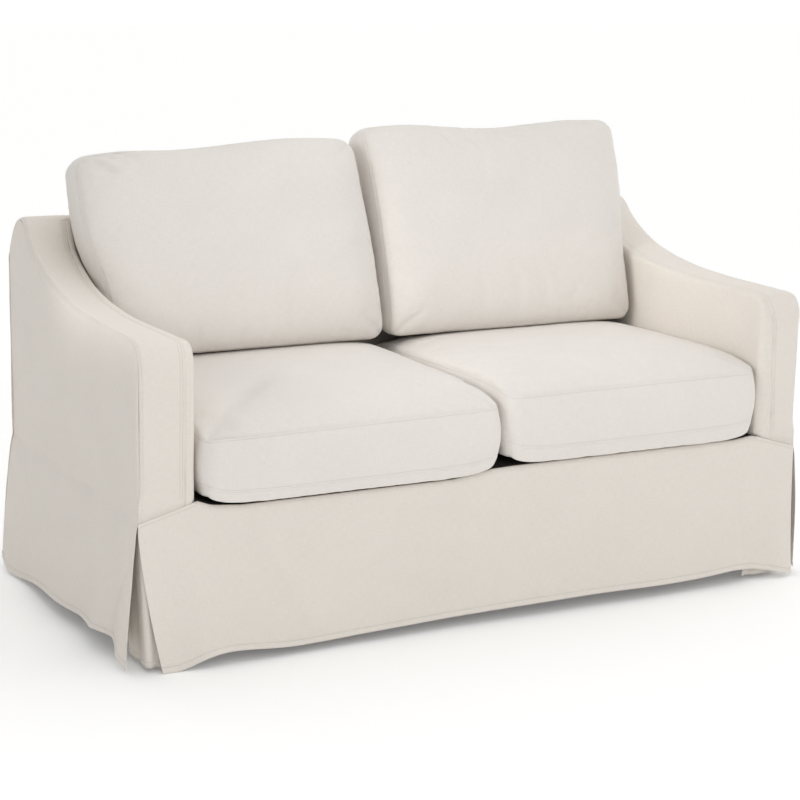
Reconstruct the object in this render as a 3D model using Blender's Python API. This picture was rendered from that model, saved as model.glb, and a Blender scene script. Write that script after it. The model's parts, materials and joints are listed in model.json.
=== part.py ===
from bisect import bisect_right
from collections import namedtuple
import math

import bmesh
import bpy
from mathutils import Vector
import numpy as np

# A fitted two-seat slipcover, hollow underneath, with its four filled cushions.
# Sizes are in metres. X runs to the right, Y to the back, Z up from the lowest point of the hem.
CLOTH = 0.002
SEAM = 0.0003
BUTT = CLOTH + 0.0004

ARM_OUT = 0.76
ARM_IN = {-1: 0.645, 1: 0.656}
FRONT_Y = -0.387
BACK_Y = 0.381

# The skirt's seam is level with the deck at the inside of each arm and dips to the corner.
SKIRT_ARM_Z = 0.326
SKIRT_CORNER_Z = 0.295
SKIRT_ROLL = 0.012
SKIRT_ROLL_DROP = 1.6 * SKIRT_ROLL
# The skirt's rolled top edge, in shares of that roll: how far back and how far down, by row.
SKIRT_EDGE = {-3: (1.0, 0.0), -2: (0.6, 0.0), -1: (0.15, 0.5)}

DECK_BACK_Y = 0.2555
DECK_EASE = 0.0012
PANEL_FOOT_Z = 0.300
INNER_FOOT_FRONT_Y = -0.345
INNER_FOOT_BACK_Y = 0.264
INSIDE_FOOT_Y = 0.256
INSIDE_HEAD_Y = 0.292
INSIDE_HEAD_Z = 0.745
INSIDE_RAIL_Z = 0.764

IVORY = (0.80, 0.765, 0.72, 1.0)
DECKING = (0.012, 0.008, 0.006, 1.0)

Place = namedtuple("Place", "y z")
Level = namedtuple("Level", "x z")
Fold = namedtuple("Fold", "top hem width height")

# The arm's outline from the foot of its front, over the sloped top and the rear corner.
ARM_LINE = [
    Place(FRONT_Y, SKIRT_ARM_Z),
    Place(FRONT_Y, 0.450),
    Place(FRONT_Y, 0.575),
    Place(-0.383, 0.606),
    Place(-0.371, 0.624),
    Place(-0.350, 0.633),
    Place(-0.290, 0.636),
    Place(-0.150, 0.638),
    Place(-0.050, 0.643),
    Place(0.055, 0.657),
    Place(0.143, 0.679),
    Place(0.207, 0.706),
    Place(0.254, 0.735),
    Place(0.287, 0.765),
    Place(0.310, 0.774),
    Place(0.333, 0.772),
    Place(0.356, 0.753),
    Place(0.372, 0.727),
    Place(BACK_Y, 0.700),
    Place(BACK_Y, 0.680),
]
LONGEST_STEP = 0.050
SIDE_EASE = 0.0005
FRONT_STRAIGHT_Z = 0.575
RAIL_FRONT_Y = 0.300

# The seam of band and inner arm panel: its distance from the middle, by height and by depth.
FRONT_SEAM = {-1: [(0.326, 0.667), (0.62, 0.665)], 1: [(0.326, 0.694), (0.57, 0.682), (0.62, 0.668)]}
TOP_SEAM = [(-0.350, 0.668), (-0.200, 0.665), (RAIL_FRONT_Y, 0.663)]
# How far the arm's top slopes down from its outer edge to that seam, then rolls, by depth.
ARM_SLOPE = {
    -1: [(-0.372, 0.0), (-0.330, 0.006), (0.0, 0.018), (0.140, 0.026), (0.250, 0.028), (0.305, 0.0)],
    1: [(-0.372, 0.0), (-0.330, 0.002), (0.0, 0.008), (0.100, 0.014), (0.250, 0.016), (0.305, 0.0)],
}
# The share of the way to the arm's inner face at which its top edge starts to roll over.
ARM_ROLL_START = 0.3
ARM_ROLL = [(-0.372, 0.014), (-0.300, 0.018), (RAIL_FRONT_Y, 0.020)]
ARM_EDGE = {
    -1: [(-0.372, 0.0), (BACK_Y, 0.0)],
    1: [(-0.372, 0.0), (-0.330, 0.004), (0.0, 0.006), (0.200, 0.011), (0.305, 0.012), (0.360, 0.0)],
}

# The deck's surface is lower under the left cushion. The skirt's top edge follows it.
DECK_LEVELS = [
    Level(-ARM_IN[-1], SKIRT_ARM_Z),
    Level(-0.610, 0.313),
    Level(-0.550, 0.307),
    Level(-0.090, 0.307),
    Level(0.000, 0.319),
    Level(0.050, 0.3205),
    Level(0.600, 0.3205),
    Level(ARM_IN[1], SKIRT_ARM_Z),
]

FRONT_HEM = [
    Level(-0.760, 0.000),
    Level(-0.714, 0.000),
    Level(-0.631, 0.020),
    Level(-0.430, 0.016),
    Level(-0.210, 0.020),
    Level(0.266, 0.026),
    Level(0.525, 0.025),
    Level(0.618, 0.029),
    Level(0.687, 0.022),
    Level(0.769, 0.002),
]
BACK_HEM = [
    Level(-0.760, 0.012),
    Level(-0.560, 0.022),
    Level(0.000, 0.026),
    Level(0.500, 0.020),
    Level(0.760, 0.010),
]
SIDE_HEM = [
    Place(-0.387, 0.006),
    Place(-0.345, 0.026),
    Place(-0.300, 0.040),
    Place(-0.136, 0.036),
    Place(0.119, 0.026),
    Place(0.340, 0.012),
    Place(0.381, 0.024),
]

# Soft folds that fan down from the skirt's seam: where each starts, where it meets the hem.
FRONT_FOLDS = [
    Fold(-0.690, -0.640, 0.045, 0.006),
    Fold(-0.420, -0.470, 0.110, 0.005),
    Fold(-0.020, -0.060, 0.150, -0.005),
    Fold(0.360, 0.380, 0.120, 0.004),
    Fold(0.640, 0.655, 0.050, -0.007),
    Fold(0.725, 0.730, 0.032, 0.008),
]
BACK_FOLDS = [
    Fold(-0.640, -0.600, 0.060, 0.006),
    Fold(-0.150, -0.180, 0.140, -0.005),
    Fold(0.300, 0.350, 0.110, 0.005),
    Fold(0.660, 0.680, 0.050, 0.006),
]
SIDE_FOLDS = [
    Fold(-0.372, -0.352, 0.022, 0.007),
    Fold(-0.365, -0.290, 0.030, -0.008),
    Fold(-0.355, -0.205, 0.034, 0.007),
    Fold(-0.330, -0.110, 0.040, -0.005),
    Fold(-0.250, 0.010, 0.060, 0.004),
    Fold(0.250, 0.210, 0.060, -0.005),
    Fold(0.330, 0.330, 0.045, 0.007),
]

# How far each free edge of the skirt draws away from its corner at the hem, and how it flares.
FRONT_DRAW = {-1: 0.044, 1: -0.010}
BACK_DRAW = {-1: 0.022, 1: 0.018}
SIDE_FRONT_DRAW = 0.022
SIDE_BACK_DRAW = 0.010
DRAW_REACH = 0.250
SIDE_FLARE = {
    -1: [(FRONT_Y, 0.020), (0.0, 0.028), (BACK_Y, 0.032)],
    1: [(FRONT_Y, 0.038), (0.0, 0.030), (BACK_Y, 0.032)],
}
SIDE_FLARE_POWER = 0.7
# The back's flare and the draw of the free edges grow faster towards the hem.
HEM_POWER = 1.3
FRONT_FLARE = 0.008
BACK_FLARE = 0.016

# The pleat inserts stand just inside the corners and lean in towards the hem.
PLEAT_ARM = 0.095
PLEAT_RADIUS = 0.010
PLEAT_DROP = 0.006
PLEAT_HEM_Z = 0.008
PLEAT_LEAN_X = 0.016
PLEAT_LEAN_Y = 0.006
PLEAT_RIPPLE = 0.004

# A cushion's seams lie boxing apart, and its front and rear faces rise past them as crowns.
# Its sides bulge between the seams. Rise lifts the lower edges and press moves the foot up.
# The tables shift the left and the right side by the share up, and the far edge by that across.
Cushion = namedtuple(
    "Cushion",
    "name place turn width depth boxing crown under bulge corner arch fall tilt rise press "
    "left right crest",
)
UPRIGHT = math.radians(73)
STRAIGHT = [(-1, 0), (1, 0)]
CUSHIONS = [
    Cushion(
        name="seat_left", place=(-0.3098, -0.0725, 0.3783), turn=0,
        width=0.640, depth=0.635, boxing=0.1341, crown=0.042, under=0.0030, bulge=0.010,
        corner=0.026, arch=0.014, fall=0, tilt=0.008, rise=0.022, press=0,
        left=STRAIGHT, right=STRAIGHT, crest=STRAIGHT,
    ),
    Cushion(
        name="seat_right", place=(0.3380, -0.0725, 0.3928), turn=0,
        width=0.615, depth=0.635, boxing=0.138, crown=0.028, under=0.0030, bulge=0.010,
        corner=0.028, arch=0.020, fall=0.008, tilt=0.004, rise=0.020, press=0,
        left=STRAIGHT, right=STRAIGHT, crest=STRAIGHT,
    ),
    Cushion(
        name="back_left", place=(-0.3230, 0.2007, 0.7026), turn=UPRIGHT,
        width=0.630, depth=0.4414, boxing=0.080, crown=0.044, under=0.0344, bulge=0.008,
        corner=0.030, arch=0.004, fall=0, tilt=0, rise=0, press=0.030,
        left=[(-1, 0.012), (-0.3, 0.008), (0.15, -0.018), (1, -0.026)],
        right=[(-1, 0.002), (-0.3, 0), (1, -0.020)],
        crest=[(-1, -0.022), (-0.7, -0.012), (-0.3, -0.012), (0.6, 0.006), (1, 0.002)],
    ),
    Cushion(
        name="back_right", place=(0.3315, 0.2049, 0.7164), turn=UPRIGHT,
        width=0.634, depth=0.4669, boxing=0.080, crown=0.044, under=0.0346, bulge=0.0065,
        corner=0.026, arch=0.004, fall=0, tilt=0, rise=0, press=0.030,
        left=[(-1, 0), (0, 0.002), (1, -0.012)],
        right=[(-1, -0.004), (-0.35, -0.002), (-0.1, 0.001), (0.1, 0.007), (1, 0.008)],
        crest=[(-1, -0.002), (-0.7, 0.003), (0, -0.009), (0.7, 0.005), (1, 0.003)],
    ),
]
PRESS_POWER = 4
ARCH_POWER = 4
RISE_POWER = 8
CROWN_POWER = 5
FULL_CROWN_POWER = 8
UNDER_POWER = 20
CROWN_ROUND = 0.55
EDGE_CROWDING = 2
CUSHION_STEPS = (16, 14, 4)


def between(start, end, share):
    return start + (end - start) * share


def stepped(rows, at):
    """The value at a place, along straight lines from row to row."""
    places, values = zip(*rows)
    return float(np.interp(at, places, values))


def smooth(rows, at):
    """The value at a place, along a smooth curve through the rows."""
    places, values = zip(*rows)
    slopes = np.gradient(values, places)
    at = min(max(at, places[0]), places[-1])
    row = min(bisect_right(places, at) - 1, len(places) - 2)
    span = places[row + 1] - places[row]
    t = (at - places[row]) / span
    rise = values[row + 1] - values[row]
    start = values[row] + t * t * (3 - 2 * t) * rise
    return float(start + t * (1 - t) * span * ((1 - t) * slopes[row] - t * slopes[row + 1]))


def smooth_line(rows, longest):
    """Points on a smooth line through the rows, no further apart than the longest step."""
    points = np.array(rows, float)
    padded = np.vstack([2 * points[0] - points[1], points, 2 * points[-1] - points[-2]])
    line = []
    for row in range(len(points) - 1):
        a, b, c, d = padded[row : row + 4]
        steps = math.ceil(np.linalg.norm(c - b) / longest)
        for t in np.arange(steps) / steps:
            bend = t**2 * (a - 2.5 * b + 2 * c - 0.5 * d)
            twist = t**3 * (1.5 * b - 1.5 * c + 0.5 * d - 0.5 * a)
            line.append(b + 0.5 * t * (c - a) + bend + twist)
    line.append(points[-1])
    return np.array(line)


def outward_of(line):
    """The outward direction at each point of the arm's line, lengthened at bends like a mitre."""
    steps = np.diff(line, axis=0)
    steps /= np.linalg.norm(steps, axis=1)[:, None]
    sides = np.column_stack([-steps[:, 1], steps[:, 0]])
    before = np.vstack([[-1, 0], sides])
    after = np.vstack([sides, [1, 0]])
    joined = before + after
    return 2 * joined / np.sum(joined**2, axis=1)[:, None]


LINE = smooth_line(ARM_LINE, LONGEST_STEP)
OUTWARD = outward_of(LINE)
TOP_START = int(np.argmax(LINE[:, 1] >= FRONT_STRAIGHT_Z))
INNER_END = int(np.argmax(LINE[:, 0] > RAIL_FRONT_Y)) - 1


def inset(station, depth):
    """The point this deep under the arm's line, as y and z."""
    return LINE[station] - OUTWARD[station] * depth


def skirt_top(x):
    """The height of the skirt's top seam at x."""
    if -ARM_IN[-1] <= x <= ARM_IN[1]:
        return stepped(DECK_LEVELS, x)
    edge = ARM_IN[math.copysign(1, x)]
    return stepped([(edge, SKIRT_ARM_Z), (ARM_OUT, SKIRT_CORNER_Z)], abs(x))


def fold_height(folds, at, drop):
    """How far the folds stand out at a place, this share of the way down to the hem."""
    total = 0
    for fold in folds:
        middle = between(fold.top, fold.hem, drop)
        total += fold.height * drop * math.exp(-(((at - middle) / fold.width) ** 2))
    return total


def draw_from(edge, at, draw, drop):
    """The shift along the skirt of a point near a free edge that draws back towards the hem."""
    share = max(0, 1 - abs(at - edge) / DRAW_REACH)
    return draw * share**2 * drop**HEM_POWER


def make_material(name, colour):
    material = bpy.data.materials.new(name)
    material.use_nodes = True
    shader = material.node_tree.nodes["Principled BSDF"]
    shader.inputs["Base Color"].default_value = colour
    shader.inputs["Roughness"].default_value = 0.9
    shader.inputs["Metallic"].default_value = 0
    return material


def add_object(name, bm, colour, parent):
    mesh = bpy.data.meshes.new(name)
    bm.to_mesh(mesh)
    bm.free()
    mesh.shade_smooth()
    mesh.set_sharp_from_angle(angle=math.radians(40))
    piece = bpy.data.objects.new(name, mesh)
    bpy.context.scene.collection.objects.link(piece)
    piece.parent = parent
    mesh.materials.append(make_material(name + "_cloth", colour))
    return piece


def make_sheet(name, columns, rows, point, facing, colour, parent):
    """A cloth panel whose outer face passes through point(column, row), facing outwards."""
    bm = bmesh.new()
    grid = [[bm.verts.new(point(column, row)) for row in rows] for column in columns]
    for left, right in zip(grid, grid[1:]):
        for row in range(len(rows) - 1):
            bm.faces.new((left[row], right[row], right[row + 1], left[row + 1]))
    bm.normal_update()
    turned = sum((face.normal * face.calc_area() for face in bm.faces), Vector())
    if turned.dot(Vector(facing)) < 0:
        bmesh.ops.reverse_faces(bm, faces=bm.faces)
    piece = add_object(name, bm, colour, parent)
    wall = piece.modifiers.new("cloth", "SOLIDIFY")
    wall.thickness = CLOTH
    wall.offset = -1
    wall.use_even_offset = True
    return piece


def seam_at(side, station):
    """The distance from the middle at which the band meets the inner arm panel."""
    y, z = LINE[station]
    if y < TOP_SEAM[0][0]:
        return stepped(FRONT_SEAM[side], z)
    return stepped(TOP_SEAM, y)


def make_band(name, side, parent):
    def point(station, across):
        inner = ARM_IN[side] if station > INNER_END else seam_at(side, station) + SEAM
        x = between(ARM_OUT, inner, across)
        depth = stepped(ARM_SLOPE[side], LINE[station][0]) * across
        depth += stepped(ARM_EDGE[side], LINE[station][0]) * (1 - across) ** 3
        y, z = inset(station, depth)
        if station == 0:
            z = skirt_top(side * x) + SEAM
        return side * x, y, z

    stations = range(len(LINE))
    across = np.linspace(0, 1, 5)
    return make_sheet(name, stations, across, point, (0, -0.3, 1), IVORY, parent)


def make_inner(name, side, parent):
    rolled = 5
    flat = 4

    def point(station, row):
        slope = stepped(ARM_SLOPE[side], LINE[station][0])
        roll = stepped(ARM_ROLL, LINE[station][0])
        seam = seam_at(side, station)
        if row <= rolled:
            level = between(seam, ARM_IN[side], ARM_ROLL_START)
            turn = math.pi / 2 * max(0, row - 1) / (rolled - 1)
            x = between(level, ARM_IN[side], math.sin(turn)) if row else seam
            y, z = inset(station, slope + roll * (1 - math.cos(turn)))
            if station == 0:
                z = skirt_top(side * x) + SEAM
            return side * x, y, z
        start = np.array(inset(station, slope + roll))
        foot_y = between(INNER_FOOT_FRONT_Y, INNER_FOOT_BACK_Y, station / INNER_END)
        y, z = between(start, np.array([foot_y, PANEL_FOOT_Z]), (row - rolled) / flat)
        return side * ARM_IN[side], y, z

    stations = range(INNER_END + 1)
    rows = range(rolled + flat + 1)
    return make_sheet(name, stations, rows, point, (-side, 0, 0.2), IVORY, parent)


def make_side(name, side, parent):
    upper = [0, 0.15, 0.4, 0.7, 1]
    lower = [1.1, 1.25, 1.45, 1.65, 1.85, 2]

    def point(station, row):
        y, z = inset(station, BUTT + SIDE_EASE + stepped(ARM_EDGE[side], LINE[station][0]))
        if row <= 1:
            return side * ARM_OUT, y, between(z, SKIRT_CORNER_Z, row)
        drop = row - 1
        out = smooth(SIDE_FLARE[side], y) * drop**SIDE_FLARE_POWER + fold_height(SIDE_FOLDS, y, drop)
        hem = smooth(SIDE_HEM, y)
        shift = draw_from(FRONT_Y, y, SIDE_FRONT_DRAW, drop) - draw_from(BACK_Y, y, SIDE_BACK_DRAW, drop)
        return side * (ARM_OUT + out), y + shift, between(SKIRT_CORNER_Z, hem, drop)

    stations = range(TOP_START, len(LINE) - 1)
    return make_sheet(name, stations, upper + lower, point, (side, 0, 0), IVORY, parent)


def make_front_skirt(parent):
    def point(x, row):
        top = skirt_top(x)
        if row < 0:
            lift = SKIRT_ROLL if -ARM_IN[-1] < x < ARM_IN[1] else 0
            back, down = SKIRT_EDGE[row]
            return x, FRONT_Y + back * lift, top - down * SKIRT_ROLL
        start = top - SKIRT_ROLL_DROP
        out = FRONT_FLARE * row**2 + fold_height(FRONT_FOLDS, x, row)
        shift = draw_from(-ARM_OUT, x, FRONT_DRAW[-1], row) - draw_from(ARM_OUT, x, FRONT_DRAW[1], row)
        return x + shift, FRONT_Y - out, between(start, smooth(FRONT_HEM, x), row)

    left = np.linspace(-ARM_OUT, -ARM_IN[-1], 5)
    right = np.linspace(ARM_IN[1], ARM_OUT, 5)
    middle = np.linspace(SKIRT_ROLL / 2 - ARM_IN[-1], ARM_IN[1] - SKIRT_ROLL / 2, 24)
    columns = np.concatenate([left, middle, right])
    rows = [-3, -2, -1, 0, 0.12, 0.3, 0.5, 0.7, 0.88, 1]
    return make_sheet("front_skirt", columns, rows, point, (0, -1, 0), IVORY, parent)


def make_outside_back(parent):
    top = LINE[-1][1] - SEAM
    upper = [0, 0.3, 0.65, 1]
    lower = [1.12, 1.3, 1.5, 1.75, 2]

    def point(x, row):
        if row <= 1:
            return x, BACK_Y, between(top, SKIRT_CORNER_Z, row)
        drop = row - 1
        out = BACK_FLARE * drop**HEM_POWER + fold_height(BACK_FOLDS, x, drop)
        shift = draw_from(-ARM_OUT, x, BACK_DRAW[-1], drop) - draw_from(ARM_OUT, x, BACK_DRAW[1], drop)
        return x + shift, BACK_Y + out, between(SKIRT_CORNER_Z, smooth(BACK_HEM, x), drop)

    columns = np.linspace(-ARM_OUT, ARM_OUT, 23)
    return make_sheet("outside_back", columns, upper + lower, point, (0, 1, 0), IVORY, parent)


def make_inside_back(parent):
    rows = []
    for share in np.linspace(0, 1, 5):
        y = between(INSIDE_FOOT_Y, INSIDE_HEAD_Y, share)
        rows.append((y, between(PANEL_FOOT_Z, INSIDE_HEAD_Z, share)))
    rows.append((RAIL_FRONT_Y, INSIDE_RAIL_Z))
    rows += [tuple(place) for place in LINE[INNER_END + 1 :]]

    def point(x, row):
        return x, row[0], row[1]

    columns = np.linspace(SEAM - ARM_IN[-1], ARM_IN[1] - SEAM, 12)
    return make_sheet("inside_back", columns, rows, point, (0, -1, 0.5), IVORY, parent)


def make_deck(parent):
    front = FRONT_Y + SKIRT_ROLL + SEAM

    def point(x, y):
        return x, y, stepped(DECK_LEVELS, x)

    inner = [level.x for level in DECK_LEVELS[1:-1]]
    columns = [DECK_EASE - ARM_IN[-1]] + inner + [ARM_IN[1] - DECK_EASE]
    rows = np.linspace(front, DECK_BACK_Y, 6)
    return make_sheet("deck", columns, rows, point, (0, 0, 1), DECKING, parent)


def make_pleat(name, side, end, parent):
    """A folded insert behind a corner: side is -1 on the left, end is -1 at the front."""
    edge_x = ARM_OUT - BUTT
    edge_y = -FRONT_Y - BUTT if end < 0 else BACK_Y - BUTT

    def point(along, drop):
        x = edge_x - PLEAT_LEAN_X * drop
        y = edge_y - PLEAT_LEAN_Y * drop
        out = PLEAT_RIPPLE * drop * math.sin(3 * math.pi * along / PLEAT_ARM)
        turn = math.pi / 4 * (1 + along / PLEAT_RADIUS)
        if along < -PLEAT_RADIUS:
            x += along
            y += min(out, 0)
        elif along > PLEAT_RADIUS:
            x += min(out, 0)
            y -= along
        else:
            x += PLEAT_RADIUS * (math.sin(turn) - 1)
            y += PLEAT_RADIUS * (math.cos(turn) - 1)
        top = SKIRT_CORNER_Z - PLEAT_DROP
        return side * x, end * y, between(top, PLEAT_HEM_Z, drop)

    straight = np.linspace(PLEAT_RADIUS, PLEAT_ARM, 5)
    columns = np.concatenate([-straight[::-1], [-PLEAT_RADIUS / 3, PLEAT_RADIUS / 3], straight])
    rows = np.linspace(0, 1, 6)
    return make_sheet(name, columns, rows, point, (side, end, 0), IVORY, parent)


def crowded(value):
    """A place from -1 to 1, moved towards the nearer end."""
    return math.copysign(1 - (1 - abs(value)) ** EDGE_CROWDING, value)


def dome(a, b, power):
    return ((1 - abs(a) ** power) * (1 - abs(b) ** power)) ** CROWN_ROUND


def cushion_point(spec, a, b, c):
    """A point of the cushion, from one on the cube from -1 to 1: a across, b along, c through."""
    a = crowded(a)
    b = crowded(b)
    reach = max(abs(a), abs(b))
    half = np.array([spec.width, spec.depth]) / 2
    edge = np.array([a, b]) / max(reach, 1e-6) * half
    core = np.clip(edge, spec.corner - half, half - spec.corner)
    round_off = (edge - core) / max(np.linalg.norm(edge - core), 1e-6)
    edge = core + round_off * (spec.corner + spec.bulge * (1 - c * c))
    x, y = edge * reach
    x += between(smooth(spec.left, b), smooth(spec.right, b), (1 + a) / 2)
    y += spec.press * (1 - c) / 2 * ((1 - b) / 2) ** PRESS_POWER
    y += smooth(spec.crest, a) * ((1 + b) / 2) ** 2
    lift = spec.arch * (1 - b**ARCH_POWER) - spec.fall * b + spec.tilt * a / 2
    z = c * spec.boxing / 2 + lift * (1 + c) / 2 + spec.rise * a**RISE_POWER * (1 - c) / 2
    lying = spec.turn == 0
    if c == 1:
        z += spec.crown * dome(a, b, CROWN_POWER if lying else FULL_CROWN_POWER)
    elif c == -1:
        z -= spec.under * dome(a, b, UNDER_POWER if lying else CROWN_POWER)
    return x, y, z


def make_cushion(spec, parent):
    bm = bmesh.new()
    bmesh.ops.create_cube(bm, size=2)
    for axis, steps in enumerate(CUSHION_STEPS):
        along = [edge for edge in bm.edges if abs((edge.verts[0].co - edge.verts[1].co)[axis]) > 1e-6]
        bmesh.ops.subdivide_edges(bm, edges=along, cuts=steps - 1, use_grid_fill=True)
    for vert in bm.verts:
        a, b, c = (round(value, 5) for value in vert.co)
        vert.co = cushion_point(spec, a, b, c)
    piece = add_object(spec.name, bm, IVORY, parent)
    piece.location = spec.place
    piece.rotation_euler.x = spec.turn
    return piece


def main():
    for old in list(bpy.data.objects):
        bpy.data.objects.remove(old, do_unlink=True)
    cover = bpy.data.objects.new("slipcover", None)
    bpy.context.scene.collection.objects.link(cover)
    for side, word in ((-1, "left"), (1, "right")):
        make_side("side_" + word, side, cover)
        make_band("band_" + word, side, cover)
        make_inner("inner_" + word, side, cover)
        make_pleat("pleat_front_" + word, side, -1, cover)
        make_pleat("pleat_back_" + word, side, 1, cover)
    make_front_skirt(cover)
    make_outside_back(cover)
    make_inside_back(cover)
    make_deck(cover)
    for spec in CUSHIONS:
        make_cushion(spec, cover)


main()
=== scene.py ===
import json
import math
from bisect import bisect_right

import bmesh
import bpy
import numpy as np
from mathutils import Matrix, Vector, kdtree, noise
from mathutils.bvhtree import BVHTree

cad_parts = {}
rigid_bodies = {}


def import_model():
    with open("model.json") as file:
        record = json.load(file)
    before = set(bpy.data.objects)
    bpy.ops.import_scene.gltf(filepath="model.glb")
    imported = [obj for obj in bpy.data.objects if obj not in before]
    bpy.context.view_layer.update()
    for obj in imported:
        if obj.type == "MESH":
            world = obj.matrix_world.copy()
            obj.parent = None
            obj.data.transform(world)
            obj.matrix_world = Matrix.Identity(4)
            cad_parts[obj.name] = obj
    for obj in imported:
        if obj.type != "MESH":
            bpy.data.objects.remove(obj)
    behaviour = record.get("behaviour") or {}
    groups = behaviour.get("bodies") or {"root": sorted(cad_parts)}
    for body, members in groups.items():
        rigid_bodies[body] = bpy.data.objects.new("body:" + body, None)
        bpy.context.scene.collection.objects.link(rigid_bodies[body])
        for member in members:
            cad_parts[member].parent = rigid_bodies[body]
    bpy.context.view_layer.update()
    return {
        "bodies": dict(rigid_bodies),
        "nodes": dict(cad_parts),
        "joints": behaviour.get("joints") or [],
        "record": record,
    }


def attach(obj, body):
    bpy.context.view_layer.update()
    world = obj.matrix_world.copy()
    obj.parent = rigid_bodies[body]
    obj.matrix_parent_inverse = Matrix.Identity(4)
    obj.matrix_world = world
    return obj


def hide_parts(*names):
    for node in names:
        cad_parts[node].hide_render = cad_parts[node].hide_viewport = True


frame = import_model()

# All sizes are in metres, in the frame's own axes: x to the right, y to the back, z up.
cloth = {"wall": 0.0016, "seamDrop": 0.0005, "seamReach": 0.0014, "gap": 0.00008, "step": 0.0045,
         "hem": 0.012, "stitchLine": 0.0054, "stitchDip": 0.0006, "stitchWide": 0.0014, "corner": 0.016,
         "cornerMiddle": 0.293}  # how far in the middle of a round corner lies, as a share of its radius
root = "root"


def mix(start, end, share):
    return start + (end - start) * share


tableMemory = {}


# A table's places, values and slopes, worked out once
def tableColumns(table):
    if id(table) not in tableMemory:
        places, values = zip(*table)
        tableMemory[id(table)] = (table, list(places), list(values), np.gradient(values, places).tolist())
    return tableMemory[id(table)][1:]


def tableRow(places, at):
    at = min(max(at, places[0]), places[-1])
    row = min(bisect_right(places, at) - 1, len(places) - 2)
    span = places[row + 1] - places[row]
    return row, span, (at - places[row]) / span


def alongTable(table, at):
    places, values, slopes = tableColumns(table)
    row, span, t = tableRow(places, at)
    return mix(values[row], values[row + 1], t)


def curveTable(table, at):
    places, values, slopes = tableColumns(table)
    row, span, t = tableRow(places, at)
    start = values[row] + t * t * (3 - 2 * t) * (values[row + 1] - values[row])
    return start + t * (1 - t) * span * ((1 - t) * slopes[row] - t * slopes[row + 1])


def smoothLine(table, longest):
    points = np.array(table, float)
    padded = np.vstack([2 * points[0] - points[1], points, 2 * points[-1] - points[-2]])
    line = []
    for row in range(len(points) - 1):
        a, b, c, d = padded[row : row + 4]
        steps = math.ceil(np.linalg.norm(c - b) / longest)
        for t in np.arange(steps) / steps:
            bend = t**2 * (a - 2.5 * b + 2 * c - 0.5 * d)
            twist = t**3 * (1.5 * b - 1.5 * c + 0.5 * d - 0.5 * a)
            line.append(b + 0.5 * t * (c - a) + bend + twist)
    line.append(points[-1])
    return np.array(line)


def outwardOf(line):
    steps = np.diff(line, axis=0)
    steps /= np.linalg.norm(steps, axis=1)[:, None]
    sides = np.column_stack([-steps[:, 1], steps[:, 0]])
    joined = np.vstack([[-1, 0], sides]) + np.vstack([sides, [1, 0]])
    return 2 * joined / np.sum(joined**2, axis=1)[:, None]


# Places from first to last: a step apart, and close together beside each seam
def seamRows(seams, first, last, step):
    places = set()
    for seam in seams:
        for away in (0, 0.0009, 0.0019, 0.0031, 0.0043, 0.0054, 0.0065, 0.0080):
            places |= {seam + away, seam - away}
    places = {place for place in places if first <= place <= last}
    count = max(2, math.ceil((last - first) / step))
    for place in np.linspace(first, last, count + 1):
        if all(abs(place - other) > 0.4 * min(step, 0.004) for other in places):
            places.add(float(place))
    return sorted(places)


def evenSteps(start, end, step):
    return seamRows([start, end], start, end, step)


# The slack of cloth: broad soft unevenness with a little fine crumple on it
def unevenLie(x, y, seed, spread=0.13, height=0.0012):
    broad = noise.noise(Vector((x / spread, y / spread, seed * 7.3)))
    fine = noise.noise(Vector((x / (spread * 0.3), y / (spread * 0.3), seed * 3.1 + 40)))
    return height * (broad + 0.25 * fine)


# Shares of the way down to a hem, close together where the hem is stitched
def hemRows(count):
    return list(np.linspace(0, 0.925, count)) + [0.940, 0.950, 0.956, 0.962, 0.968, 0.978, 0.99, 1]


# The dip at the hem's stitch line: the hem stands thicker below it
def hemDip(drop):
    away = (1 - drop) * 0.285 - cloth["hem"]
    return 0.0010 * math.exp(-((away / 0.0024) ** 2)) - (0.0006 if away < -0.002 else 0)


def ripple(at, seed, length):
    return noise.noise(Vector((at / length, seed * 5.7, 0.5)))


# Soft ridges and troughs: each runs from one place to another and fades at its ends
def creaseHeight(creases, x, y):
    total = 0
    for x0, y0, x1, y1, width, height in creases:
        dx, dy = x1 - x0, y1 - y0
        length = math.hypot(dx, dy)
        t = ((x - x0) * dx + (y - y0) * dy) / length**2
        if -0.3 < t < 1.3:
            away = abs((x - x0) * dy - (y - y0) * dx) / length
            fade = min(1, max(0, (t + 0.3) / 0.5)) * min(1, max(0, (1.3 - t) / 0.5))
            fade = fade * fade * (3 - 2 * fade)
            total += height * fade * math.exp(-((away / width) ** 2))
    return total


# The drop of a face that turns round a corner, this far from where its flat would end
def roundDrop(d):
    r = cloth["corner"]
    return 0 if d >= r else r - math.sqrt(r * r - (r - d) ** 2)


# Moves a panel's edge in from the square corner to the middle of the round one
def turnIn(d, share=1):
    return d + cloth["cornerMiddle"] * cloth["corner"] * share * max(0, 1 - d / 0.03)


# How far the cloth's face dips at its sewn edges, and in the narrow line of the stitches
def seamRoll(*distances):
    drop = 0
    for d in distances:
        drop += cloth["seamDrop"] * math.exp(-((d / cloth["seamReach"]) ** 2))
        drop += cloth["stitchDip"] * math.exp(-(((d - cloth["stitchLine"]) / cloth["stitchWide"]) ** 2))
    return drop


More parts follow.
